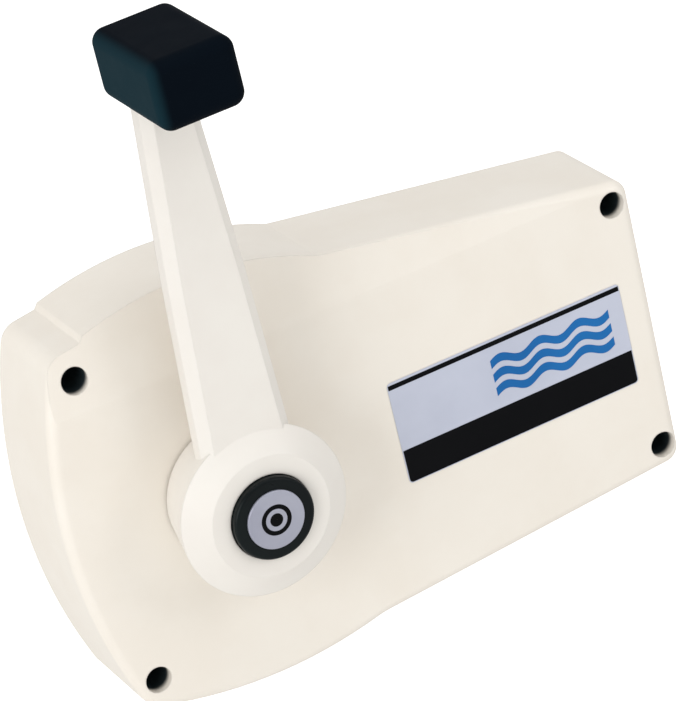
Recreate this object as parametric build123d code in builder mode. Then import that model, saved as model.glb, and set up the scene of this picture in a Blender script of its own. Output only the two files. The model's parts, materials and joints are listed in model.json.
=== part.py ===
from build123d import *
import os
from math import atan2, cos, degrees, radians, sin, tan

# Side-mount single-lever boat throttle and shift control, in millimetres.
# +X runs from the nose of the box to its tail, +Z up the lever in neutral, +Y into the boat's side.
# The origin is on the mounting face, on the lever's axis. Plane.XZ faces -Y, so a distance out
# from the mounting face is a positive offset of that plane. Such distances are called heights here.

os.makedirs("parts", exist_ok=True)

# ---------------- housing outline, as (x, z) about the lever's axis
DEPTH = 42.0
TAIL_X = 169.8
TAIL_RAKE = 1.0
NOSE_TIP = (-62.9, 4.0)
NOSE_HIGH = (-51.5, 69.5)
STEP_FOOT = (-38.5, 71.3)
STEP_HEAD = (-37.0, 73.3)
TOP_CREST = (0.0, 78.3)
TOP_BREAK = (51.0, 67.2)
TAIL_HIGH = (TAIL_X, 48.6)
TAIL_LOW = (TAIL_X - TAIL_RAKE, -62.9)
BELLY_BREAK = (43.0, -71.5)
BELLY_LOW = (3.0, -76.2)
NOSE_LOW = (-49.5, -67.0)
BREAK_RADIUS = 30.0
CORNERS = [(NOSE_HIGH, 8.0), (NOSE_LOW, 11.0), (TAIL_HIGH, 6.0), (TAIL_LOW, 6.0),
           (BELLY_BREAK, BREAK_RADIUS), (TOP_BREAK, BREAK_RADIUS)]

# ---------------- housing section
WALL = 2.8
FRONT_EDGE = 3.6
FACET_Z = 48.5
FACET_TILT = 8.5
PLATE = 3.0
REBATE = 1.4
PLATE_GAP = 0.2

# ---------------- mounting bolt holes
NOSE_BOLT_X = -44.2
NOSE_BOLT_Z = (60.0, -57.2)
TAIL_BOLT_INSET = 7.6
TAIL_BOLT_Z = (41.7, -54.8)
BOLT_HOLE = 2.75
BOLT_HEAD_HOLE = 4.85
BOLT_SEAT = 24.0
BOLT_COLUMN = 7.3

# ---------------- small screws
SCREW = 1.5
SCREW_HEAD = 2.9
SCREW_HEAD_T = 1.6
SOCKET_DEPTH = 1.0
SOCKET = 1.3
PLATE_SCREW_SPOTS = [(-28.0, 58.0), (20.0, -62.0), (100.0, 46.0), (100.0, -55.0)]
PLATE_SCREW_LENGTH = 12.0
POST = 4.5

# ---------------- shaft and its bearings
SHAFT = 9.0
JOURNAL = 8.0
RUNNING = 0.05
FIT = 0.02
FLOOR_GAP = 0.4
BUSHING_WALL = 2.0
FLANGE = 12.6
FLANGE_T = 1.0
BOSS = 13.0
BOSS_TOP = 10.0
COLLAR = 14.0
COLLAR_LOW = 24.4
WASHER_T = 1.0
WASHER = 12.0
BODY_GAP = 0.1
SHAFT_FLANGE = 11.5
SHAFT_FLANGE_T = 3.0
SEAL_T = 0.6
SEAL = 14.0

# ---------------- crank
CRANK_LOW = 18.0
CRANK_T = 4.0
CRANK = 34.0
LOBE = 8.0
SHIFT_PIN_AT = (0.0, -38.0)
THROTTLE_PIN_AT = (30.0, 0.0)
PIN = 4.0
PIN_SPIGOT = 3.0
PIN_FLANGE = 6.0
PIN_FLANGE_T = 0.8
PIN_TAIL = 0.9
CLIP_T = 0.8
CLIP_ROOT = 3.2
CLIP = 5.8
CLIP_SLOT = 3.0
KEY_WIDTH = 4.0
KEY_ROOT = 7.5
KEY_TOP = 10.8
CIRCLIP_T = 1.1
CIRCLIP_ROOT = 8.3
CIRCLIP = 11.2

# ---------------- neutral and gear detent
DETENT_STEP = 32.0
NOTCH_DEPTH = 2.2
NOTCH_HALF = 2.8
LEAF_X = -40.0
LEAF_T = 0.8
LEAF_WIDTH = 10.0
LEAF_TOP = 40.0
LEAF_BOTTOM = -6.5
NOSE_HALF = 4.0
NOSE_GAP = 0.3
LUG_T = 7.0
LUG_BOTTOM = 23.0
LUG_TOP = 41.0
LEAF_SCREW_Z = (28.0, 36.0)
LEAF_SCREW_LENGTH = 5.5

# ---------------- cable connectors, clamps and outlets
CONNECTOR_T = 8.0
CONNECTOR_GAP = 0.2
BARREL = 7.0
NECK = 3.9
NECK_LENGTH = 18.0
CABLE_HOLE = 2.1
CABLE_HOLE_DEPTH = 10.0
SADDLE_INSET = 44.8
SADDLE_LENGTH = 14.0
SADDLE_HALF = 12.5
CONDUIT = 4.5
CLAMP_CAP = 6.5
CLAMP_SCREW_OFFSET = 8.6
CLAMP_SCREW_LENGTH = 11.0
OUTLET = 6.5

# ---------------- label
LABEL_LONG = 94.5
LABEL_INSET = 11.8
LABEL_Z = (-27.1, 12.5)
LABEL_T = 0.4
LABEL_RECESS = 0.25
LABEL_CORNER = 1.5

# ---------------- lever
HUB_GAP = 1.0
HUB_LOW_R = 25.6
HUB_CONE = 23.0
HUB_RIM_R = 31.0
HUB_BEVEL = 6.0
HUB_TOP_R = 22.0
RECESS = 15.2
RECESS_DEPTH = 9.0
HUB_WEB = 3.0
ARM_OUT = 15.0
ARM_T = 9.0
ARM_BEVEL = 3.7
ARM_LEAN = 1.2
ARM_LOW = (17.2, 15.0)
ARM_MIDDLE = (14.0, 89.0)
ARM_TIP_HALF = 8.7
ARM_PAST_KNOB = 5.2
ARM_TIP_R = 8.0
SET_SCREW = 2.45
SET_SCREW_LENGTH = 8.0
SET_SCREW_OUT = 9.0
SET_SOCKET = 1.4

# ---------------- grip knob
KNOB_Z = 166.8
KNOB_WIDE = 31.0
KNOB_HIGH = 24.8
KNOB_OVERHANG = 9.0
KNOB_LONG = 50.0
KNOB_CORNER = 5.0
KNOB_EDGE = 4.6
KNOB_SCREW_DROP = 3.3
KNOB_SCREW = 2.45
KNOB_SCREW_HEAD = 4.5
KNOB_SCREW_HEAD_T = 3.2
KNOB_SCREW_WALL = 4.5
KNOB_SCREW_LENGTH = 24.0
INSERT = 4.0
INSERT_LENGTH = 12.5

# ---------------- push button
BUTTON = 14.9
BUTTON_PROUD = 3.0
BUTTON_TRAVEL = 3.0
BUTTON_WALL = 2.0
BUTTON_FACE_T = 2.5
BUTTON_EDGE = 1.2
BUTTON_BOSS = 5.4
BUTTON_BOSS_LENGTH = 3.5
DISC = 10.6
DISC_SEAT = 0.4
DISC_PROUD = 0.8
ROD = 4.0
ROD_RUNNING = 0.08
ROD_LOW = 11.5
ROD_POCKET = 6.2
ROD_STOP = 20.0
COIL = 6.8
WIRE = 0.55
COIL_TURNS = 3.5

# ---------------- heights and positions that follow
HUB_LOW = DEPTH + HUB_GAP
HUB_RIM = HUB_LOW + HUB_CONE
HUB_TOP = HUB_RIM + HUB_BEVEL
RECESS_FLOOR = HUB_TOP - RECESS_DEPTH
SHAFT_END = RECESS_FLOOR - HUB_WEB
ARM_BACK = HUB_LOW + ARM_OUT
SET_SCREW_AT = HUB_LOW + SET_SCREW_OUT
KNOB_BACK = ARM_BACK - KNOB_OVERHANG
KNOB_SCREW_SEAT = ARM_BACK - KNOB_SCREW_WALL
BUTTON_FRONT = HUB_TOP + BUTTON_PROUD
BUTTON_INSIDE = BUTTON_FRONT - BUTTON_FACE_T
ARM_FRONT = ARM_BACK + ARM_T
CRANK_TOP = CRANK_LOW + CRANK_T
WASHER_LOW = BOSS_TOP + FLANGE_T + BODY_GAP
SHOULDER = WASHER_LOW + WASHER_T
SHIFT_LOW = CRANK_TOP + PIN_FLANGE_T + CONNECTOR_GAP
SHIFT_MID = SHIFT_LOW + CONNECTOR_T / 2
THROTTLE_TOP = CRANK_LOW - PIN_FLANGE_T - CONNECTOR_GAP
THROTTLE_MID = THROTTLE_TOP - CONNECTOR_T / 2
OUTLETS = [(SHIFT_PIN_AT[1], SHIFT_MID), (THROTTLE_PIN_AT[1], THROTTLE_MID)]
TAIL_BOLT_X = TAIL_X - TAIL_BOLT_INSET
SADDLE_X = TAIL_X - SADDLE_INSET
LABEL_X = (TAIL_X - LABEL_INSET - LABEL_LONG, TAIL_X - LABEL_INSET)
BOLT_SPOTS = [(NOSE_BOLT_X, z) for z in NOSE_BOLT_Z] + [(TAIL_BOLT_X, z) for z in TAIL_BOLT_Z]
SCREW_SEAT = SCREW_HEAD_T + PLATE_GAP
LEAF_LOW = CRANK_LOW + CRANK_T / 2 - LEAF_WIDTH / 2
LEAF_MID = CRANK_LOW + CRANK_T / 2
ARM_HIGH = (ARM_TIP_HALF, KNOB_Z + ARM_PAST_KNOB)
KNOB_SCREW_Z = KNOB_Z - KNOB_SCREW_DROP
KNOB_AT = (KNOB_Z * tan(radians(ARM_LEAN)), KNOB_Z)
KNOB_SCREW_AT = (KNOB_SCREW_Z * tan(radians(ARM_LEAN)), KNOB_SCREW_Z)
REACH = 4 * DEPTH + TAIL_X


def level(height):
    """Plane parallel to the mounting face, facing out."""
    return Plane.XZ.offset(height)


def bar(spot, radius, low, high, mode=Mode.ADD):
    """Round bar or hole square to the mounting face."""
    with Locations(level(low).location * Pos(spot[0], spot[1])):
        Cylinder(radius, high - low, align=(Align.CENTER, Align.CENTER, Align.MIN), mode=mode)


def block(left, right, bottom, top, low, high, mode=Mode.ADD):
    """Rectangular block between two heights."""
    with Locations(level(low).location * Pos((left + right) / 2, (bottom + top) / 2)):
        size = (right - left, top - bottom, high - low)
        Box(*size, align=(Align.CENTER, Align.CENTER, Align.MIN), mode=mode)


def cross_bar(left, right, height, z, radius, mode=Mode.ADD):
    """Round bar or hole along the box."""
    with Locations(Plane(origin=(left, -height, z), z_dir=(1, 0, 0)).location):
        Cylinder(radius, right - left, align=(Align.CENTER, Align.CENTER, Align.MIN), mode=mode)


def hex_pocket(spot, radius, low, high):
    """Hexagonal drive recess square to the mounting face."""
    with BuildSketch(level(low)) as hexagon:
        with Locations(spot):
            RegularPolygon(radius, 6)
    extrude(hexagon.sketch, amount=high - low, mode=Mode.SUBTRACT)


def facet_wedge(ridge, mode=Mode.SUBTRACT):
    """Everything in front of the leaning upper face, whose ridge is at the given height."""
    rise = TOP_CREST[1] - FACET_Z + DEPTH
    lean = rise * tan(radians(FACET_TILT))
    with BuildSketch(Plane.YZ) as wedge:
        with BuildLine():
            Polyline((-ridge, FACET_Z), (lean - ridge, FACET_Z + rise),
                     (-2 * DEPTH, FACET_Z + rise), (-2 * DEPTH, FACET_Z), close=True)
        make_face()
    extrude(wedge.sketch, amount=REACH, both=True, mode=mode)


# ---------------- flat outlines that several pieces share
with BuildSketch() as outline:
    with BuildLine():
        ThreePointArc(NOSE_LOW, NOSE_TIP, NOSE_HIGH)
        Line(NOSE_HIGH, STEP_FOOT)
        run = (STEP_FOOT[0] - NOSE_HIGH[0], STEP_FOOT[1] - NOSE_HIGH[1])
        TangentArc(STEP_FOOT, TOP_BREAK, tangent=run)
        Line(TOP_BREAK, TAIL_HIGH)
        Line(TAIL_HIGH, TAIL_LOW)
        Line(TAIL_LOW, BELLY_BREAK)
        ThreePointArc(BELLY_BREAK, BELLY_LOW, NOSE_LOW)
    make_face()
    for spot, radius in CORNERS:
        fillet(outline.vertices().sort_by_distance(Vector(*spot))[0], radius)

with BuildSketch() as brow:
    with BuildLine():
        ThreePointArc(STEP_HEAD, TOP_CREST, TOP_BREAK)
        Polyline(TOP_BREAK, (TOP_BREAK[0], FACET_Z), (STEP_FOOT[0], FACET_Z), STEP_FOOT, STEP_HEAD)
    make_face()

with BuildSketch() as inner_outline:
    offset(outline.sketch, amount=-WALL)

with BuildSketch() as rebate_outline:
    offset(outline.sketch, amount=-REBATE)

with BuildSketch() as plate_outline:
    offset(outline.sketch, amount=-REBATE - PLATE_GAP)

# ---------------- hollow inside the housing, which leaves its columns, posts and collar standing
with BuildPart() as hollow:
    with BuildSketch(level(PLATE)):
        add(inner_outline.sketch)
    extrude(amount=DEPTH - WALL - PLATE)
    facet_wedge(DEPTH - WALL)
    for spot in BOLT_SPOTS:
        bar(spot, BOLT_COLUMN, PLATE, DEPTH, Mode.SUBTRACT)
    for spot in PLATE_SCREW_SPOTS:
        bar(spot, POST, PLATE, DEPTH, Mode.SUBTRACT)
    bar((0, 0), COLLAR, COLLAR_LOW, DEPTH, Mode.SUBTRACT)

# ---------------- front housing
with BuildPart() as front_housing:
    with BuildSketch(level(0)):
        add(outline.sketch)
    extrude(amount=DEPTH)
    fillet(front_housing.faces().sort_by(Axis.Y)[0].edges(), FRONT_EDGE)
    with BuildSketch(level(0)):
        add(brow.sketch)
    extrude(amount=DEPTH)
    facet_wedge(DEPTH)
    add(hollow.part, mode=Mode.SUBTRACT)
    with BuildSketch(level(0)):
        add(rebate_outline.sketch)
    extrude(amount=PLATE, mode=Mode.SUBTRACT)
    for spot in BOLT_SPOTS:
        bar(spot, BOLT_HOLE, 0, DEPTH, Mode.SUBTRACT)
        bar(spot, BOLT_HEAD_HOLE, BOLT_SEAT, DEPTH, Mode.SUBTRACT)
    for spot in PLATE_SCREW_SPOTS:
        bar(spot, SCREW, PLATE, SCREW_SEAT + PLATE_SCREW_LENGTH + PLATE_GAP, Mode.SUBTRACT)
    bar((0, 0), SHAFT + RUNNING + BUSHING_WALL, COLLAR_LOW, DEPTH, Mode.SUBTRACT)
    for z, height in OUTLETS:
        cross_bar(TAIL_LOW[0] - 2 * WALL, TAIL_HIGH[0] + WALL, height, z, OUTLET, Mode.SUBTRACT)
    with BuildSketch(level(DEPTH - LABEL_RECESS)):
        with Locations(((LABEL_X[0] + LABEL_X[1]) / 2, (LABEL_Z[0] + LABEL_Z[1]) / 2)):
            RectangleRounded(LABEL_X[1] - LABEL_X[0], LABEL_Z[1] - LABEL_Z[0], LABEL_CORNER)
    extrude(amount=WALL, mode=Mode.SUBTRACT)

# ---------------- back plate with the rear bearing boss, the detent lug and the cable saddles
with BuildPart() as back_plate:
    with BuildSketch(level(0)):
        add(plate_outline.sketch)
    extrude(amount=PLATE)
    bar((0, 0), BOSS, PLATE, BOSS_TOP)
    bar((0, 0), JOURNAL + RUNNING + BUSHING_WALL, PLATE, BOSS_TOP, Mode.SUBTRACT)
    block(LEAF_X - LUG_T, LEAF_X, LUG_BOTTOM, LUG_TOP, PLATE, LEAF_LOW + LEAF_WIDTH)
    for z in LEAF_SCREW_Z:
        cross_bar(LEAF_X - LEAF_SCREW_LENGTH, LEAF_X, LEAF_MID, z, SCREW, Mode.SUBTRACT)
    for z, height in OUTLETS:
        block(SADDLE_X, SADDLE_X + SADDLE_LENGTH, z - SADDLE_HALF, z + SADDLE_HALF, PLATE, height)
        cross_bar(SADDLE_X, SADDLE_X + SADDLE_LENGTH, height, z, CONDUIT, Mode.SUBTRACT)
        for side in (-1, 1):
            spot = (SADDLE_X + SADDLE_LENGTH / 2, z + side * CLAMP_SCREW_OFFSET)
            low = max(height + CLAMP_CAP - CLAMP_SCREW_LENGTH, 0)
            bar(spot, SCREW, low, height, Mode.SUBTRACT)
    for spot in BOLT_SPOTS:
        bar(spot, BOLT_HOLE, 0, PLATE, Mode.SUBTRACT)
    for spot in PLATE_SCREW_SPOTS:
        bar(spot, SCREW, 0, PLATE, Mode.SUBTRACT)
        bar(spot, SCREW_HEAD + PLATE_GAP, 0, SCREW_SEAT, Mode.SUBTRACT)

with BuildPart() as plate_screws:
    for spot in PLATE_SCREW_SPOTS:
        bar(spot, SCREW_HEAD, PLATE_GAP, SCREW_SEAT)
        bar(spot, SCREW, SCREW_SEAT, SCREW_SEAT + PLATE_SCREW_LENGTH)
        hex_pocket(spot, SOCKET, PLATE_GAP, PLATE_GAP + SOCKET_DEPTH)

# ---------------- bearings and seal
with BuildPart() as front_bushing:
    bar((0, 0), SHAFT + RUNNING + BUSHING_WALL, COLLAR_LOW, DEPTH)
    bar((0, 0), FLANGE, COLLAR_LOW - FLANGE_T, COLLAR_LOW)
    bar((0, 0), SHAFT + RUNNING, COLLAR_LOW - FLANGE_T, DEPTH, Mode.SUBTRACT)

with BuildPart() as rear_bushing:
    bar((0, 0), JOURNAL + RUNNING + BUSHING_WALL, PLATE, BOSS_TOP)
    bar((0, 0), FLANGE, BOSS_TOP, BOSS_TOP + FLANGE_T)
    bar((0, 0), JOURNAL + RUNNING, PLATE, BOSS_TOP + FLANGE_T, Mode.SUBTRACT)

with BuildPart() as shaft_seal:
    bar((0, 0), SEAL, DEPTH, DEPTH + SEAL_T)
    bar((0, 0), SHAFT + BODY_GAP, DEPTH, DEPTH + SEAL_T, Mode.SUBTRACT)

# ---------------- detent leaf, whose nose rests in the crank's neutral notch
with BuildPart() as detent_spring:
    tip = -CRANK + NOTCH_DEPTH - NOSE_GAP
    back = LEAF_X + LEAF_T
    with BuildSketch(level(LEAF_LOW)):
        with BuildLine():
            Polyline((LEAF_X, LEAF_TOP), (LEAF_X, NOSE_HALF), (tip - LEAF_T, 0), (LEAF_X, -NOSE_HALF),
                     (LEAF_X, LEAF_BOTTOM), (back, LEAF_BOTTOM), (back, -NOSE_HALF), (tip, 0),
                     (back, NOSE_HALF), (back, LEAF_TOP), close=True)
        make_face()
    extrude(amount=LEAF_WIDTH)
    for z in LEAF_SCREW_Z:
        cross_bar(LEAF_X, LEAF_X + LEAF_T, LEAF_MID, z, SCREW, Mode.SUBTRACT)

with BuildPart() as detent_screws:
    for z in LEAF_SCREW_Z:
        cross_bar(LEAF_X - LEAF_SCREW_LENGTH, back, LEAF_MID, z, SCREW)
        cross_bar(back, back + SCREW_HEAD_T, LEAF_MID, z, SCREW_HEAD)

# ---------------- cable clamps
with BuildPart() as cable_clamps:
    for z, height in OUTLETS:
        block(SADDLE_X, SADDLE_X + SADDLE_LENGTH, z - SADDLE_HALF, z + SADDLE_HALF,
              height, height + CLAMP_CAP)
        cross_bar(SADDLE_X, SADDLE_X + SADDLE_LENGTH, height, z, CONDUIT, Mode.SUBTRACT)
        for side in (-1, 1):
            spot = (SADDLE_X + SADDLE_LENGTH / 2, z + side * CLAMP_SCREW_OFFSET)
            bar(spot, SCREW, height, height + CLAMP_CAP, Mode.SUBTRACT)

with BuildPart() as clamp_screws:
    for z, height in OUTLETS:
        for side in (-1, 1):
            spot = (SADDLE_X + SADDLE_LENGTH / 2, z + side * CLAMP_SCREW_OFFSET)
            top = height + CLAMP_CAP
            bar(spot, SCREW, max(top - CLAMP_SCREW_LENGTH, 0), top)
            bar(spot, SCREW_HEAD, top, top + SCREW_HEAD_T)
            hex_pocket(spot, SOCKET, top + SCREW_HEAD_T - SOCKET_DEPTH, top + SCREW_HEAD_T)

# ---------------- label
with BuildPart() as side_label:
    with BuildSketch(level(DEPTH - LABEL_RECESS)):
        with Locations(((LABEL_X[0] + LABEL_X[1]) / 2, (LABEL_Z[0] + LABEL_Z[1]) / 2)):
            RectangleRounded(LABEL_X[1] - LABEL_X[0], LABEL_Z[1] - LABEL_Z[0], LABEL_CORNER)
    extrude(amount=LABEL_T)

# ---------------- lever: one casting of bevelled arm and hub
with BuildPart() as lever_arm:
    with BuildSketch(level(ARM_BACK)) as lever_sketch:
        with BuildLine():
            side = [ARM_LOW, ARM_MIDDLE, ARM_HIGH]
            left = [(z * tan(radians(ARM_LEAN)) - x, z) for x, z in side]
            right = [(z * tan(radians(ARM_LEAN)) + x, z) for x, z in side]
            Polyline(*left, *reversed(right), close=True)
        make_face()
        fillet(lever_sketch.vertices().group_by(Axis.Y)[-1], ARM_TIP_R)
    extrude(amount=ARM_T)
    chamfer(lever_arm.faces().sort_by(Axis.Y)[0].edges(), ARM_BEVEL)
    with BuildSketch(Plane.XY):
        with BuildLine():
            Polyline((0, -HUB_LOW), (HUB_LOW_R, -HUB_LOW), (HUB_RIM_R, -HUB_RIM),
                     (HUB_TOP_R, -HUB_TOP), (0, -HUB_TOP), close=True)
        make_face()
    revolve(axis=Axis.Y)
    bar((0, 0), RECESS, RECESS_FLOOR, HUB_TOP, Mode.SUBTRACT)
    bar((0, 0), ROD + ROD_RUNNING, SHAFT_END, RECESS_FLOOR, Mode.SUBTRACT)
    bar((0, 0), SHAFT + FIT, HUB_LOW, SHAFT_END, Mode.SUBTRACT)
    with Locations((0, -SET_SCREW_AT, -HUB_RIM_R)):
        Cylinder(SET_SCREW + RUNNING, HUB_RIM_R - SHAFT / 2, mode=Mode.SUBTRACT,
                 align=(Align.CENTER, Align.CENTER, Align.MIN))
    bar(KNOB_SCREW_AT, KNOB_SCREW + RUNNING, ARM_BACK, ARM_FRONT, Mode.SUBTRACT)

with BuildPart() as hub_set_screw:
    with Locations((0, -SET_SCREW_AT, -SHAFT)):
        Cylinder(SET_SCREW, SET_SCREW_LENGTH, align=(Align.CENTER, Align.CENTER, Align.MAX))
    with BuildSketch(Plane.XY.offset(-SHAFT - SET_SCREW_LENGTH)):
        with Locations((0, -SET_SCREW_AT)):
            RegularPolygon(SET_SOCKET, 6)
    extrude(amount=SET_SCREW_LENGTH / 2, mode=Mode.SUBTRACT)

# ---------------- grip knob, a block closed over the arm's tip
with BuildPart() as grip_knob:
    with BuildSketch(level(KNOB_BACK)):
        with Locations(KNOB_AT):
            RectangleRounded(KNOB_WIDE, KNOB_HIGH, KNOB_CORNER)
    extrude(amount=KNOB_LONG)
    fillet(grip_knob.faces().sort_by(Axis.Y)[0].edges(), KNOB_EDGE)
    fillet(grip_knob.faces().sort_by(Axis.Y)[-1].edges(), KNOB_EDGE)
    add(lever_arm.part, mode=Mode.SUBTRACT)
    bar(KNOB_SCREW_AT, INSERT, ARM_FRONT, ARM_FRONT + INSERT_LENGTH, Mode.SUBTRACT)
    bar(KNOB_SCREW_AT, KNOB_SCREW + RUNNING, KNOB_BACK, ARM_FRONT, Mode.SUBTRACT)
    bar(KNOB_SCREW_AT, KNOB_SCREW_HEAD + PLATE_GAP, KNOB_BACK, KNOB_SCREW_SEAT, Mode.SUBTRACT)

with BuildPart() as knob_insert:
    bar(KNOB_SCREW_AT, INSERT, ARM_FRONT, ARM_FRONT + INSERT_LENGTH)
    bar(KNOB_SCREW_AT, KNOB_SCREW + FIT, ARM_FRONT, ARM_FRONT + INSERT_LENGTH, Mode.SUBTRACT)

with BuildPart() as knob_screw:
    head = KNOB_SCREW_SEAT - KNOB_SCREW_HEAD_T
    bar(KNOB_SCREW_AT, KNOB_SCREW, KNOB_SCREW_SEAT, KNOB_SCREW_SEAT + KNOB_SCREW_LENGTH)
    bar(KNOB_SCREW_AT, KNOB_SCREW_HEAD, head, KNOB_SCREW_SEAT)
    hex_pocket(KNOB_SCREW_AT, 2 * SOCKET, head, KNOB_SCREW_SEAT - SOCKET_DEPTH)

# ---------------- main shaft
with BuildPart() as main_shaft:
    bar((0, 0), JOURNAL, PLATE + FLOOR_GAP, SHOULDER)
    bar((0, 0), SHAFT, SHOULDER, SHAFT_END)
    bar((0, 0), SHAFT_FLANGE, CRANK_LOW - SHAFT_FLANGE_T, CRANK_LOW)
    bar((0, 0), ROD + ROD_RUNNING, PLATE, SHAFT_END, Mode.SUBTRACT)
    bar((0, 0), ROD_POCKET, PLATE, ROD_STOP, Mode.SUBTRACT)
    block(-KEY_WIDTH / 2, KEY_WIDTH / 2, KEY_ROOT, KEY_TOP, CRANK_LOW, CRANK_TOP, Mode.SUBTRACT)
    with BuildSketch(level(CRANK_TOP)):
        Circle(SHAFT + FIT)
        Circle(CIRCLIP_ROOT, mode=Mode.SUBTRACT)
    extrude(amount=CIRCLIP_T, mode=Mode.SUBTRACT)

with BuildPart() as thrust_washer:
    bar((0, 0), WASHER, WASHER_LOW, SHOULDER)
    bar((0, 0), JOURNAL + FIT, WASHER_LOW, SHOULDER, Mode.SUBTRACT)

# ---------------- crank plate: notched disc with one lobe for each cable pin
with BuildPart() as crank_plate:
    with BuildSketch(level(CRANK_LOW)):
        Circle(CRANK)
        for x, z in (SHIFT_PIN_AT, THROTTLE_PIN_AT):
            with Locations((x, z)):
                Circle(LOBE)
            with Locations(Location((x / 2, z / 2), degrees(atan2(z, x)))):
                Rectangle((x * x + z * z) ** 0.5, 2 * LOBE)
        for turn in (-DETENT_STEP, 0, DETENT_STEP):
            with Locations(Location((0, 0), 180 + turn)):
                Polygon((CRANK - NOTCH_DEPTH, 0), (CRANK + NOTCH_DEPTH, 2 * NOTCH_HALF),
                        (CRANK + NOTCH_DEPTH, -2 * NOTCH_HALF), align=None, mode=Mode.SUBTRACT)
        Circle(SHAFT + FIT, mode=Mode.SUBTRACT)
        with Locations((0, (KEY_ROOT + KEY_TOP) / 2)):
            Rectangle(KEY_WIDTH, KEY_TOP - KEY_ROOT, mode=Mode.SUBTRACT)
        with Locations(SHIFT_PIN_AT, THROTTLE_PIN_AT):
            Circle(PIN_SPIGOT, mode=Mode.SUBTRACT)
    extrude(amount=CRANK_T)

with BuildPart() as crank_key:
    block(-KEY_WIDTH / 2, KEY_WIDTH / 2, KEY_ROOT, KEY_TOP, CRANK_LOW, CRANK_TOP)

with BuildPart() as shaft_circlip:
    bar((0, 0), CIRCLIP, CRANK_TOP, CRANK_TOP + CIRCLIP_T)
    bar((0, 0), CIRCLIP_ROOT, CRANK_TOP, CRANK_TOP + CIRCLIP_T, Mode.SUBTRACT)
    block(-KEY_WIDTH / 2, KEY_WIDTH / 2, -CIRCLIP, 0, CRANK_TOP, CRANK_TOP + CIRCLIP_T, Mode.SUBTRACT)

# ---------------- cable pins and their clips
SHIFT_CLIP = SHIFT_LOW + CONNECTOR_T + CONNECTOR_GAP
THROTTLE_CLIP = THROTTLE_TOP - CONNECTOR_T - CONNECTOR_GAP - CLIP_T

with BuildPart() as shift_pin:
    bar(SHIFT_PIN_AT, PIN_SPIGOT, CRANK_LOW, CRANK_TOP)
    bar(SHIFT_PIN_AT, PIN_FLANGE, CRANK_TOP, CRANK_TOP + PIN_FLANGE_T)
    bar(SHIFT_PIN_AT, PIN, CRANK_TOP, SHIFT_CLIP)
    bar(SHIFT_PIN_AT, CLIP_ROOT, SHIFT_CLIP, SHIFT_CLIP + CLIP_T)
    bar(SHIFT_PIN_AT, PIN, SHIFT_CLIP + CLIP_T, SHIFT_CLIP + CLIP_T + PIN_TAIL)

with BuildPart() as throttle_pin:
    bar(THROTTLE_PIN_AT, PIN_SPIGOT, CRANK_LOW, CRANK_TOP)
    bar(THROTTLE_PIN_AT, PIN_FLANGE, CRANK_LOW - PIN_FLANGE_T, CRANK_LOW)
    bar(THROTTLE_PIN_AT, PIN, THROTTLE_CLIP + CLIP_T, CRANK_LOW)
    bar(THROTTLE_PIN_AT, CLIP_ROOT, THROTTLE_CLIP, THROTTLE_CLIP + CLIP_T)
    bar(THROTTLE_PIN_AT, PIN, THROTTLE_CLIP - PIN_TAIL, THROTTLE_CLIP)

with BuildPart() as pin_clips:
    for spot, low in ((SHIFT_PIN_AT, SHIFT_CLIP), (THROTTLE_PIN_AT, THROTTLE_CLIP)):
        bar(spot, CLIP, low, low + CLIP_T)
        bar(spot, CLIP_ROOT, low, low + CLIP_T, Mode.SUBTRACT)
        block(spot[0] - CLIP_SLOT / 2, spot[0] + CLIP_SLOT / 2, spot[1] - CLIP, spot[1],
              low, low + CLIP_T, Mode.SUBTRACT)

# ---------------- cable connectors
with BuildPart() as shift_connector:
    x, z = SHIFT_PIN_AT
    bar((x, z), BARREL, SHIFT_LOW, SHIFT_LOW + CONNECTOR_T)
    cross_bar(x, x + BARREL + NECK_LENGTH, SHIFT_MID, z, NECK)
    bar((x, z), PIN + RUNNING, SHIFT_LOW, SHIFT_LOW + CONNECTOR_T, Mode.SUBTRACT)
    tip_x = x + BARREL + NECK_LENGTH
    cross_bar(tip_x - CABLE_HOLE_DEPTH, tip_x, SHIFT_MID, z, CABLE_HOLE, Mode.SUBTRACT)

with BuildPart() as throttle_connector:
    x, z = THROTTLE_PIN_AT
    bar((x, z), BARREL, THROTTLE_TOP - CONNECTOR_T, THROTTLE_TOP)
    cross_bar(x, x + BARREL + NECK_LENGTH, THROTTLE_MID, z, NECK)
    bar((x, z), PIN + RUNNING, THROTTLE_TOP - CONNECTOR_T, THROTTLE_TOP, Mode.SUBTRACT)
    tip_x = x + BARREL + NECK_LENGTH
    cross_bar(tip_x - CABLE_HOLE_DEPTH, tip_x, THROTTLE_MID, z, CABLE_HOLE, Mode.SUBTRACT)

# ---------------- push button, its disc, rod, clip and return spring
with BuildPart() as button_cap:
    skirt = RECESS_FLOOR + BUTTON_TRAVEL + BODY_GAP
    bar((0, 0), BUTTON, skirt, BUTTON_FRONT)
    fillet(button_cap.faces().sort_by(Axis.Y)[0].edges(), BUTTON_EDGE)
    bar((0, 0), BUTTON - BUTTON_WALL, skirt, BUTTON_INSIDE, Mode.SUBTRACT)
    bar((0, 0), BUTTON_BOSS, BUTTON_INSIDE - BUTTON_BOSS_LENGTH, BUTTON_INSIDE)
    bar((0, 0), ROD, BUTTON_INSIDE - BUTTON_BOSS_LENGTH, BUTTON_INSIDE, Mode.SUBTRACT)
    bar((0, 0), DISC + FIT, BUTTON_FRONT - DISC_SEAT, BUTTON_FRONT, Mode.SUBTRACT)

with BuildPart() as button_disc:
    bar((0, 0), DISC, BUTTON_FRONT - DISC_SEAT, BUTTON_FRONT + DISC_PROUD)
    fillet(button_disc.faces().sort_by(Axis.Y)[0].edges(), DISC_PROUD / 2)

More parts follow.
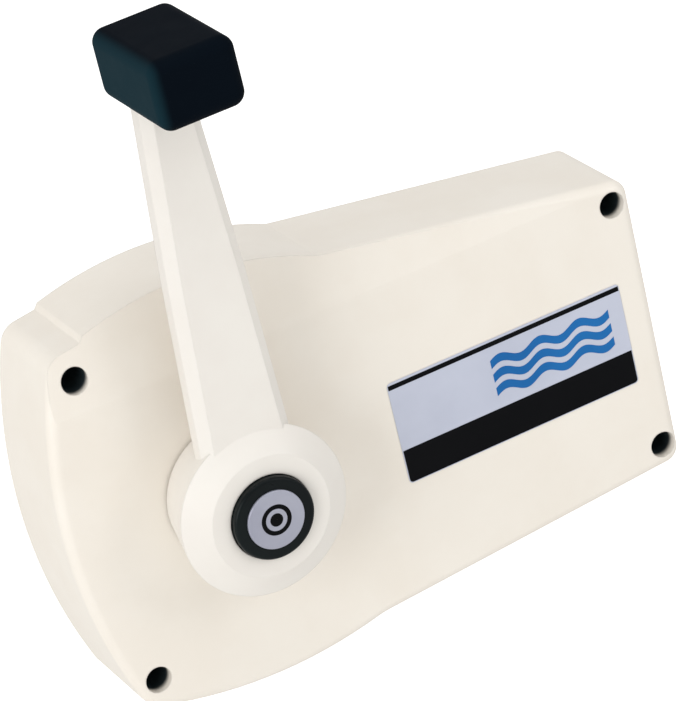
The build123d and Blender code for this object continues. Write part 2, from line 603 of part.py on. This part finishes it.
with BuildPart() as push_rod:
    bar((0, 0), ROD, ROD_LOW, BUTTON_INSIDE)
    with BuildSketch(level(ROD_STOP - BODY_GAP - CIRCLIP_T)):
        Circle(ROD + FIT)
        Circle(CLIP_ROOT, mode=Mode.SUBTRACT)
    extrude(amount=CIRCLIP_T, mode=Mode.SUBTRACT)

with BuildPart() as rod_clip:
    low = ROD_STOP - BODY_GAP - CIRCLIP_T
    bar((0, 0), CLIP, low, low + CIRCLIP_T)
    bar((0, 0), CLIP_ROOT, low, low + CIRCLIP_T, Mode.SUBTRACT)
    block(-CLIP_SLOT / 2, CLIP_SLOT / 2, -CLIP, 0, low, low + CIRCLIP_T, Mode.SUBTRACT)

with BuildPart() as button_spring:
    free = BUTTON_INSIDE - RECESS_FLOOR - 2 * WIRE
    with BuildLine() as coil:
        Helix(pitch=free / COIL_TURNS, height=free, radius=COIL,
              center=(0, -RECESS_FLOOR - WIRE, 0), direction=(0, -1, 0))
    with BuildSketch(Plane(origin=coil.line @ 0, z_dir=coil.line % 0)):
        Circle(WIRE)
    sweep(is_frenet=True)

front_housing.part.label = "front_housing"
export_step(front_housing.part, "parts/front_housing.step")
back_plate.part.label = "back_plate"
export_step(back_plate.part, "parts/back_plate.step")
plate_screws.part.label = "plate_screws"
export_step(plate_screws.part, "parts/plate_screws.step")
front_bushing.part.label = "front_bushing"
export_step(front_bushing.part, "parts/front_bushing.step")
rear_bushing.part.label = "rear_bushing"
export_step(rear_bushing.part, "parts/rear_bushing.step")
shaft_seal.part.label = "shaft_seal"
export_step(shaft_seal.part, "parts/shaft_seal.step")
detent_spring.part.label = "detent_spring"
export_step(detent_spring.part, "parts/detent_spring.step")
detent_screws.part.label = "detent_screws"
export_step(detent_screws.part, "parts/detent_screws.step")
cable_clamps.part.label = "cable_clamps"
export_step(cable_clamps.part, "parts/cable_clamps.step")
clamp_screws.part.label = "clamp_screws"
export_step(clamp_screws.part, "parts/clamp_screws.step")
side_label.part.label = "side_label"
export_step(side_label.part, "parts/side_label.step")
lever_arm.part.label = "lever_arm"
export_step(lever_arm.part, "parts/lever_arm.step")
hub_set_screw.part.label = "hub_set_screw"
export_step(hub_set_screw.part, "parts/hub_set_screw.step")
grip_knob.part.label = "grip_knob"
export_step(grip_knob.part, "parts/grip_knob.step")
knob_insert.part.label = "knob_insert"
export_step(knob_insert.part, "parts/knob_insert.step")
knob_screw.part.label = "knob_screw"
export_step(knob_screw.part, "parts/knob_screw.step")
main_shaft.part.label = "main_shaft"
export_step(main_shaft.part, "parts/main_shaft.step")
thrust_washer.part.label = "thrust_washer"
export_step(thrust_washer.part, "parts/thrust_washer.step")
crank_plate.part.label = "crank_plate"
export_step(crank_plate.part, "parts/crank_plate.step")
crank_key.part.label = "crank_key"
export_step(crank_key.part, "parts/crank_key.step")
shaft_circlip.part.label = "shaft_circlip"
export_step(shaft_circlip.part, "parts/shaft_circlip.step")
shift_pin.part.label = "shift_pin"
export_step(shift_pin.part, "parts/shift_pin.step")
throttle_pin.part.label = "throttle_pin"
export_step(throttle_pin.part, "parts/throttle_pin.step")
pin_clips.part.label = "pin_clips"
export_step(pin_clips.part, "parts/pin_clips.step")
shift_connector.part.label = "shift_connector"
export_step(shift_connector.part, "parts/shift_connector.step")
throttle_connector.part.label = "throttle_connector"
export_step(throttle_connector.part, "parts/throttle_connector.step")
button_cap.part.label = "button_cap"
export_step(button_cap.part, "parts/button_cap.step")
button_disc.part.label = "button_disc"
export_step(button_disc.part, "parts/button_disc.step")
push_rod.part.label = "push_rod"
export_step(push_rod.part, "parts/push_rod.step")
rod_clip.part.label = "rod_clip"
export_step(rod_clip.part, "parts/rod_clip.step")
button_spring.part.label = "button_spring"
export_step(button_spring.part, "parts/button_spring.step")
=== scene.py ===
"""Looks of a side-mount boat throttle and shift control, in metres, in the CAD frame."""
import json
import math

import bmesh
import bpy
from mathutils import Matrix, Vector


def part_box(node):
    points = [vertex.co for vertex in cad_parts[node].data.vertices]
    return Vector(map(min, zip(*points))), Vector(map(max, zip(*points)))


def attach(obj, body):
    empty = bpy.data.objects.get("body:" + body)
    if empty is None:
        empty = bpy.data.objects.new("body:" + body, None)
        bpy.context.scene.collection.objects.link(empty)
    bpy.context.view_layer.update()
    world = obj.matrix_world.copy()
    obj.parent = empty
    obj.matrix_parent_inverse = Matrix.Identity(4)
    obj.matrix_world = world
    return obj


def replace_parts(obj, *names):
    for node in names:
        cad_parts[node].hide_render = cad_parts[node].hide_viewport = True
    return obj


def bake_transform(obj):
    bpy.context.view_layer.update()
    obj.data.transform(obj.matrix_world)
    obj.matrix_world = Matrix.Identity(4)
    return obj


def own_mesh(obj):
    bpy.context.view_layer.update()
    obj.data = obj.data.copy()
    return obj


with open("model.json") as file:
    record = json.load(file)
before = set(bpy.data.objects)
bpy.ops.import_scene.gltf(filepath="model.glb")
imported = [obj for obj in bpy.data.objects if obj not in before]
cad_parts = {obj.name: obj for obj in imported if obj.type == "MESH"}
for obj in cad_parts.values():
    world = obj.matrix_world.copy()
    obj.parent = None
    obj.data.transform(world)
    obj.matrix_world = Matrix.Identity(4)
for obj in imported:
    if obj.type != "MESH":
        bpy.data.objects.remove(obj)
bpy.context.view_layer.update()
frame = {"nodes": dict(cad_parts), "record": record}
scene = bpy.context.scene
MM = 0.001
BEVEL_SAMPLES = 4
SEED_SHIFT = (1.0, 0.7, 1.3)
EDGE_FROM, EDGE_FULL = 0.02, 0.28


# ---------------------------------------------------------------- node helpers
class Graph:
    """A material's node tree with short calls for what the finishes share."""

    def __init__(self, name):
        self.material = bpy.data.materials.new(name)
        self.material.use_nodes = True
        self.tree = self.material.node_tree
        self.tree.nodes.clear()
        self.output = self.node("ShaderNodeOutputMaterial")
        self.shader = self.node("ShaderNodeBsdfPrincipled")
        self.link(self.shader.outputs[0], self.output.inputs[0])
        self.place = self.node("ShaderNodeTexCoord").outputs["Object"]

    def node(self, kind, **settings):
        n = self.tree.nodes.new(kind)
        for key, value in settings.items():
            setattr(n, key, value)
        return n

    def link(self, a, b):
        self.tree.links.new(a, b)

    def feed(self, value, socket):
        """Link a socket, or set a plain value."""
        if isinstance(value, bpy.types.NodeSocket):
            self.link(value, socket)
        else:
            socket.default_value = value

    def math(self, operation, a, b=0.0):
        n = self.node("ShaderNodeMath", operation=operation)
        self.feed(a, n.inputs[0])
        self.feed(b, n.inputs[1])
        return n.outputs[0]

    def noise(self, scale, detail=3.0, rough=0.5, stretch=None, seed=0.0):
        n = self.node("ShaderNodeTexNoise")
        n.inputs["Scale"].default_value = scale
        n.inputs["Detail"].default_value = detail
        n.inputs["Roughness"].default_value = rough
        where = self.place
        if stretch or seed:
            m = self.node("ShaderNodeMapping")
            m.inputs["Scale"].default_value = stretch or (1, 1, 1)
            m.inputs["Location"].default_value = [seed * shift for shift in SEED_SHIFT]
            self.link(where, m.inputs[0])
            where = m.outputs[0]
        self.link(where, n.inputs["Vector"])
        return n.outputs[0]

    def span(self, value, low, high, to_low=0.0, to_high=1.0):
        """A smooth step of value from low to high."""
        n = self.node("ShaderNodeMapRange", interpolation_type="SMOOTHSTEP")
        for socket, v in zip(n.inputs, (value, low, high, to_low, to_high)):
            self.feed(v, socket)
        return n.outputs[0]

    def mix(self, factor, a, b):
        """Colour a at 0 and b at 1. The colour sockets are inputs 6 and 7, and output 2."""
        n = self.node("ShaderNodeMix", data_type="RGBA")
        self.feed(factor, n.inputs[0])
        self.feed(a, n.inputs[6])
        self.feed(b, n.inputs[7])
        return n.outputs[2]

    def edges(self, radius):
        """1 on edges and corners, 0 on flat or gently curved surface."""
        bevel = self.node("ShaderNodeBevel", samples=BEVEL_SAMPLES)
        bevel.inputs["Radius"].default_value = radius
        flat = self.node("ShaderNodeNewGeometry")
        dot = self.node("ShaderNodeVectorMath", operation="DOT_PRODUCT")
        self.link(bevel.outputs[0], dot.inputs[0])
        self.link(flat.outputs["Normal"], dot.inputs[1])
        return self.span(self.math("SUBTRACT", 1.0, dot.outputs["Value"]), EDGE_FROM, EDGE_FULL)

    def bump(self, height, strength, distance, radius):
        """Relief on the shader's normal, with its edges rounded over radius."""
        n = self.node("ShaderNodeBump")
        n.inputs["Strength"].default_value = strength
        n.inputs["Distance"].default_value = distance
        self.link(height, n.inputs["Height"])
        soft = self.node("ShaderNodeBevel", samples=BEVEL_SAMPLES)
        soft.inputs["Radius"].default_value = radius
        self.link(soft.outputs[0], n.inputs["Normal"])
        self.link(n.outputs[0], self.shader.inputs["Normal"])

    def place_parts(self):
        """The place on the object as its x, y and z."""
        part = self.node("ShaderNodeSeparateXYZ")
        self.link(self.place, part.inputs[0])
        return part.outputs

    def overlay(self, mask, colour):
        """Another colour over the finish where mask is 1."""
        base = self.shader.inputs["Base Color"]
        self.link(self.mix(mask, base.links[0].from_socket, colour), base)

    def numbers(self, **sockets):
        """Plain values for the shader's inputs, with _ for each space in a name."""
        for name, value in sockets.items():
            self.shader.inputs[name.replace("_", " ")].default_value = value


def rgb(r, g, b):
    """Display colour, 0 to 255, as the linear colour that nodes take."""
    lin = [c / 255 / 12.92 if c / 255 <= 0.04045 else ((c / 255 + 0.055) / 1.055) ** 2.4
           for c in (r, g, b)]
    return (*lin, 1.0)


CLOUD_SEED, CLOUD_SPAN = 3.0, (0.3, 0.7)
RUB_SCALE, RUB_SEED, RUB_SPAN = 240.0, 9.0, (0.42, 0.62)
GLOSS_FINER, GLOSS_SEED, GLOSS_SPAN = 3, 5.0, (0.25, 0.75)
GLOSSIER, DULLER = 0.03, 0.04
GRAIN_STRENGTH = 0.35


def finish(name, colour, shade, roughness, grain=900.0, grain_depth=0.00002, blotch=28.0,
           worn=None, wear=0.5, edge=0.0008, soften=0.0004, stretch=None, **numbers):
    """Moulded, painted or machined surface: mottled colour, uneven gloss, fine grain, worn edges."""
    g = Graph(name)
    cloud = g.noise(blotch, detail=4.0, rough=0.6, seed=CLOUD_SEED)
    tint = g.mix(g.span(cloud, *CLOUD_SPAN), colour, shade)
    fine = g.noise(grain, detail=2.0, rough=0.6, stretch=stretch)
    if worn:
        patches = g.noise(RUB_SCALE, detail=5.0, rough=0.7, seed=RUB_SEED)
        rub = g.math("MULTIPLY", g.edges(edge), g.span(patches, *RUB_SPAN))
        tint = g.mix(g.math("MULTIPLY", rub, wear), tint, worn)
    g.link(tint, g.shader.inputs["Base Color"])
    sheen = g.noise(blotch * GLOSS_FINER, detail=5.0, rough=0.65, seed=GLOSS_SEED)
    spread = g.span(sheen, *GLOSS_SPAN, roughness - GLOSSIER, roughness + DULLER)
    g.link(spread, g.shader.inputs["Roughness"])
    g.numbers(**numbers)
    g.bump(fine, GRAIN_STRENGTH, grain_depth, soften)
    return g


# ---------------------------------------------------------------- finishes
CREAM = rgb(235, 229, 219)
CREAM_SHADE = rgb(232, 225, 214)
LEVER = rgb(230, 226, 219)
LEVER_SHADE = rgb(227, 222, 215)
BARE = rgb(250, 247, 240)
# The bolt wells' axes, reach and depths in millimetres for their painted shade, and how far the painted
# teal sheen goes into the knob.
WELLS = [(-44.2, 60.0), (-44.2, -57.2), (162.2, 41.7), (162.2, -54.8)]
WELL_REACH = 4.95
WELL_MOUTH, WELL_DEEP = -40.5, -37.2
WELL_PAINTED_SHADE = rgb(38, 48, 52)
TEAL_SHEEN_REACH = 4.0
TEAL_PAINTED_SHEEN = rgb(20, 42, 50)


def housing_paint():
    """Satin cream paint, with painted shade on the walls of the bolt wells below their mouths."""
    g = finish("housing_paint", CREAM, CREAM_SHADE, 0.42, grain=1400.0, grain_depth=0.000012,
               worn=BARE, wear=0.35, edge=0.0012, soften=0.0009)
    x, y, z = g.place_parts()
    inside = None
    for wx, wz in WELLS:
        across = g.math("POWER", g.math("SUBTRACT", x, wx * MM), 2.0)
        up = g.math("POWER", g.math("SUBTRACT", z, wz * MM), 2.0)
        near = g.math("LESS_THAN", g.math("ADD", across, up), (WELL_REACH * MM) ** 2)
        inside = near if inside is None else g.math("MAXIMUM", inside, near)
    # Painted shade: the well walls darken from the mouth inward, where shade falls inside the deep holes.
    deep = g.span(y, WELL_MOUTH * MM, WELL_DEEP * MM)
    g.overlay(g.math("MULTIPLY", inside, deep), WELL_PAINTED_SHADE)
    return g.material


def knob_rubber():
    """Near-black navy rubber, with a painted teal sheen on the side towards the nose."""
    g = finish("grip_rubber", rgb(8, 12, 19), rgb(9, 14, 21), 0.6, grain=1600.0, grain_depth=0.00004,
               worn=rgb(30, 42, 50), wear=0.4, edge=0.002, soften=0.001,
               Specular_IOR_Level=0.02, Specular_Tint=(0.2, 0.75, 1.0, 1.0))
    x = g.place_parts()[0]
    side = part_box("grip_knob")[0][0]
    # Painted sheen: the knob's nose-side face is coloured teal.
    g.overlay(g.span(x, side + TEAL_SHEEN_REACH * MM, side), TEAL_PAINTED_SHEEN)
    return g.material


def plain(*args, **kwargs):
    """The material of a finish with nothing added."""
    return finish(*args, **kwargs).material


def turned(name, colour, shade, roughness):
    """Machined metal with fine turning lines."""
    return plain(name, colour, shade, roughness, grain=500.0, grain_depth=0.00002, blotch=60.0,
                 stretch=(1.0, 14.0, 1.0), worn=rgb(235, 235, 232), wear=0.6, Metallic=1.0)


looks = {
    "housing_cream": housing_paint(),
    "lever_cream": plain("lever_paint", LEVER, LEVER_SHADE, 0.38, grain=1200.0, grain_depth=0.000014,
                         worn=BARE, wear=0.4, edge=0.001, soften=0.0008),
    "grip_navy": knob_rubber(),
    "button_black": plain("button_plastic", rgb(9, 14, 16), rgb(13, 21, 22), 0.3, grain=1500.0,
                          grain_depth=0.00002, worn=rgb(46, 56, 58), wear=0.4, edge=0.0006,
                          soften=0.0004, Specular_IOR_Level=0.12),
    "disc_silver": plain("disc_satin", rgb(172, 174, 188), rgb(158, 160, 176), 0.36, grain=700.0,
                         grain_depth=0.00001, stretch=(1, 1, 12), worn=rgb(220, 220, 226),
                         Metallic=0.55),
    "label_lilac": plain("label_film", rgb(190, 195, 211), rgb(183, 188, 205), 0.4, grain=1800.0,
                         grain_depth=0.00001, worn=rgb(214, 217, 226), edge=0.0004, soften=0.0002),
    "moulded_black": plain("nylon_black", rgb(38, 39, 41), rgb(30, 31, 33), 0.5, grain=1300.0,
                           grain_depth=0.00004, worn=rgb(90, 91, 93), edge=0.0008),
    "bearing_nylon": plain("acetal_natural", rgb(232, 228, 212), rgb(220, 214, 196), 0.4,
                           worn=rgb(244, 241, 230)),
    "seal_rubber": plain("seal_rubber", rgb(26, 26, 27), rgb(34, 34, 35), 0.7, grain_depth=0.00004,
                         worn=rgb(70, 70, 70)),
    "shaft_steel": turned("shaft_steel", rgb(178, 178, 176), rgb(160, 160, 160), 0.3),
    "spring_steel": turned("spring_steel", rgb(140, 142, 146), rgb(120, 122, 128), 0.34),
    "steel_zinc": turned("zinc_plate", rgb(196, 198, 200), rgb(176, 178, 176), 0.32),
    "brass_insert": turned("brass", rgb(214, 178, 98), rgb(190, 152, 78), 0.3),
    "connector_zinc": turned("diecast_zinc", rgb(176, 178, 182), rgb(158, 160, 166), 0.42),
}
slot_of = {s["node"]: s["material_slot"] for s in frame["record"]["subparts"]}
for name, obj in frame["nodes"].items():
    for i in range(len(obj.material_slots)):
        obj.material_slots[i].material = looks[slot_of[name]]


# ---------------------------------------------------------------- printed pieces
def piece(name, bm, material, body):
    """The finished mesh as an object that rides its body."""
    bmesh.ops.recalc_face_normals(bm, faces=bm.faces)
    mesh = bpy.data.meshes.new(name)
    bm.to_mesh(mesh)
    bm.free()
    obj = bpy.data.objects.new(name, mesh)
    scene.collection.objects.link(obj)
    mesh.materials.append(material)
    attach(obj, body)


def film(name, outline):
    """Flat black print on the label's face, inside a closed (x, z) outline in millimetres."""
    bm = bmesh.new()
    front = [bm.verts.new((x * MM, face - HAIR, z * MM)) for x, z in outline]
    back = [bm.verts.new((x * MM, face, z * MM)) for x, z in outline]
    bm.faces.new(front)
    bm.faces.new(list(reversed(back)))
    for i in range(len(outline)):
        j = (i + 1) % len(outline)
        bm.faces.new((front[j], front[i], back[i], back[j]))
    piece(name, bm, INK, "base")


def loft(bm, sections, closed):
    """Skin over sections of four corners: a ring when closed, otherwise a strip with two ends."""
    rows = [[bm.verts.new(corner) for corner in section] for section in sections]
    for a, b in zip(rows, rows[1:] + rows[:1] if closed else rows[1:]):
        for k in range(4):
            j = (k + 1) % 4
            bm.faces.new((a[k], a[j], b[j], b[k]))
    if not closed:
        bm.faces.new(rows[0])
        bm.faces.new(list(reversed(rows[-1])))


def arc(cx, cz, r, start, end):
    """Points of an arc about (cx, cz), with its angles in degrees."""
    angles = [math.radians(start + (end - start) * i / CORNER_STEPS) for i in range(CORNER_STEPS + 1)]
    return [(cx + r * math.cos(a), cz + r * math.sin(a)) for a in angles]


INK = plain("ink_black", rgb(5, 6, 9), rgb(8, 9, 12), 0.35, grain=1900.0, grain_depth=0.000008,
            worn=rgb(60, 62, 66), edge=0.0003, soften=0.0002, Specular_IOR_Level=0.06)
BLUE = plain("ink_blue", rgb(18, 104, 172), rgb(12, 94, 160), 0.35, grain=1900.0, grain_depth=0.000008,
             worn=rgb(90, 150, 200), edge=0.0003, soften=0.0002, Specular_IOR_Level=0.2)
# The print's thickness in metres, and the label's layout in millimetres.
HAIR = 0.00004
LABEL_RIM = 0.3
LABEL_CORNER = 1.3
CORNER_STEPS = 6
FOOT_HIGH = 13.0
LINE_TOP = 0.9
LINE_LOW = 2.7

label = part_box("side_label")
face = label[0][1]
x0, x1 = label[0][0] / MM, label[1][0] / MM
z0, z1 = label[0][2] / MM, label[1][2] / MM
left, right_end = x0 + LABEL_RIM, x1 - LABEL_RIM
low = z0 + LABEL_RIM + LABEL_CORNER
foot = z0 + FOOT_HIGH
film("label_foot", [*arc(left + LABEL_CORNER, low, LABEL_CORNER, 180, 270),
                    *arc(right_end - LABEL_CORNER, low, LABEL_CORNER, 270, 360),
                    (right_end, foot), (left, foot)])
film("label_head", [(left, z1 - LINE_LOW), (right_end, z1 - LINE_LOW),
                    (right_end, z1 - LINE_TOP), (left, z1 - LINE_TOP)])

WAVES_FROM = 40.0
WAVES_SHORT = 6.0
WAVE_PITCH = 5.4
WAVE_DROP = 0.2
WAVE_SWING = 1.5
WAVE_THICK = 3.2
WAVE_COUNT = 3
WAVE_STEPS = 18 * WAVE_COUNT


def wave(start, end, middle):
    """Cross-sections of one ribbon of regular waves between two x."""
    sections = []
    for i in range(WAVE_STEPS + 1):
        share = i / WAVE_STEPS
        x = (start + (end - start) * share) * MM
        z = middle + WAVE_SWING * math.sin(2 * math.pi * WAVE_COUNT * share)
        top, bottom = (z + WAVE_THICK / 2) * MM, (z - WAVE_THICK / 2) * MM
        sections.append(((x, face - HAIR, top), (x, face - HAIR, bottom),
                         (x, face, bottom), (x, face, top)))
    return sections


bm = bmesh.new()
middle = (foot + z1 - LINE_LOW) / 2 - WAVE_DROP
for row in (1, 0, -1):
    loft(bm, wave(x0 + WAVES_FROM, x1 - WAVES_SHORT, middle + row * WAVE_PITCH), closed=False)
piece("label_waves", bm, BLUE, "base")

# A dot and a ring on the disc. The dot keeps a pinhole, so that both are rings.
DISC_RINGS = ((0.05, 2.4), (4.0, 5.6))
RING_STEPS = 48
disc_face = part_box("button_disc")[0][1]
bm = bmesh.new()
for inner, outer in DISC_RINGS:
    corners = ((inner, disc_face - HAIR), (outer, disc_face - HAIR), (outer, disc_face), (inner, disc_face))
    turns = [2 * math.pi * i / RING_STEPS for i in range(RING_STEPS)]
    loft(bm, [[(r * MM * math.cos(a), y, r * MM * math.sin(a)) for r, y in corners] for a in turns],
         closed=True)
piece("disc_mark", bm, INK, "button")


# ---------------------------------------------------------------- spring copies that stand for the CAD springs
def twin(node, body):
    """A copy of a CAD piece that stands for it and may change its shape."""
    obj = frame["nodes"][node].copy()
    obj.data = obj.data.copy()
    place = obj.matrix_world.copy()
    obj.parent = None
    obj.matrix_world = place
    obj.name = node + "_live"
    scene.collection.objects.link(obj)
    if body:
        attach(obj, body)
    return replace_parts(obj, node)


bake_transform(twin("button_spring", None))
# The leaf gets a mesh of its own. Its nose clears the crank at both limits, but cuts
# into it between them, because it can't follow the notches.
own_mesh(twin("detent_spring", "base"))

# ---------------------------------------------------------------- stage, light and camera
FLOOR_GRAIN = 1.5
FLOOR_GLOW = 0.6
WORLD_LIGHT, WORLD_SEEN = 0.67, 1.0


def floor_paint():
    """Pale matt floor that looks a little brighter to the camera than it lights the part."""
    g = Graph("floor_pale")
    cloud = g.span(g.noise(FLOOR_GRAIN, detail=2.0), *CLOUD_SPAN)
    g.link(g.mix(cloud, rgb(244, 243, 241), rgb(241, 240, 238)), g.shader.inputs["Base Color"])
    g.numbers(Roughness=0.9)
    seen = g.node("ShaderNodeLightPath").outputs["Is Camera Ray"]
    glow = g.node("ShaderNodeEmission")
    glow.inputs["Color"].default_value = (1, 1, 1, 1)
    g.link(g.math("MULTIPLY", seen, FLOOR_GLOW), glow.inputs["Strength"])
    both = g.node("ShaderNodeAddShader")
    g.link(g.shader.outputs[0], both.inputs[0])
    g.link(glow.outputs[0], both.inputs[1])
    g.link(both.outputs[0], g.output.inputs[0])
    return g.material


bpy.ops.mesh.primitive_plane_add(size=8.0, location=(0.05, 0.0, -0.3))
floor = bpy.context.object
floor.name = "floor"
floor.data.materials.append(floor_paint())


def studio():
    """White all round: WORLD_SEEN to the camera, and WORLD_LIGHT on the part."""
    world = bpy.data.worlds.new("studio")
    world.use_nodes = True
    tree = world.node_tree
    tree.nodes.clear()
    seen = tree.nodes.new("ShaderNodeLightPath")
    back = tree.nodes.new("ShaderNodeBackground")
    level = tree.nodes.new("ShaderNodeMapRange")
    out = tree.nodes.new("ShaderNodeOutputWorld")
    back.inputs["Color"].default_value = (1.0, 1.0, 1.0, 1)
    tree.links.new(seen.outputs["Is Camera Ray"], level.inputs["Value"])
    level.inputs["To Min"].default_value = WORLD_LIGHT
    level.inputs["To Max"].default_value = WORLD_SEEN
    tree.links.new(level.outputs[0], back.inputs["Strength"])
    tree.links.new(back.outputs[0], out.inputs[0])
    return world


def softbox(name, place, target, wide, high, power):
    """White area lamp that faces its target, in metres and watts."""
    data = bpy.data.lights.new(name, "AREA")
    data.shape = "RECTANGLE"
    data.size = wide
    data.size_y = high
    data.energy = power
    obj = bpy.data.objects.new(name, data)
    obj.location = place
    obj.rotation_euler = (Vector(target) - Vector(place)).to_track_quat("-Z", "Y").to_euler()
    scene.collection.objects.link(obj)


PART_MIDDLE = (0.03, 0.0, 0.03)
scene.world = studio()
softbox("key_left", (-1.25, -0.75, 0.45), PART_MIDDLE, wide=0.8, high=0.9, power=9.5)
softbox("key_right", (0.95, -1.15, 0.55), PART_MIDDLE, wide=0.6, high=0.8, power=3.6)
softbox("top_fill", (0.1, -0.25, 1.1), (0.05, 0.0, 0.0), wide=0.9, high=0.7, power=3.2)

# The camera's right, up and view directions and its place.
right = Vector((0.8668, -0.4491, -0.2169))
up = Vector((0.3758, 0.3021, 0.8761))
ahead = Vector((0.3279, 0.8409, -0.4306))
camera_data = bpy.data.cameras.new("camera")
camera_data.sensor_width = 36.0
camera_data.lens = 231.4
camera_data.clip_start = 0.01
camera = bpy.data.objects.new("camera", camera_data)
turn = Matrix((right, up, -ahead)).transposed().to_4x4()
camera.matrix_world = Matrix.Translation(Vector((-0.4564, -1.3405, 0.6968))) @ turn
scene.collection.objects.link(camera)
scene.camera = camera
scene.view_settings.view_transform = "Standard"
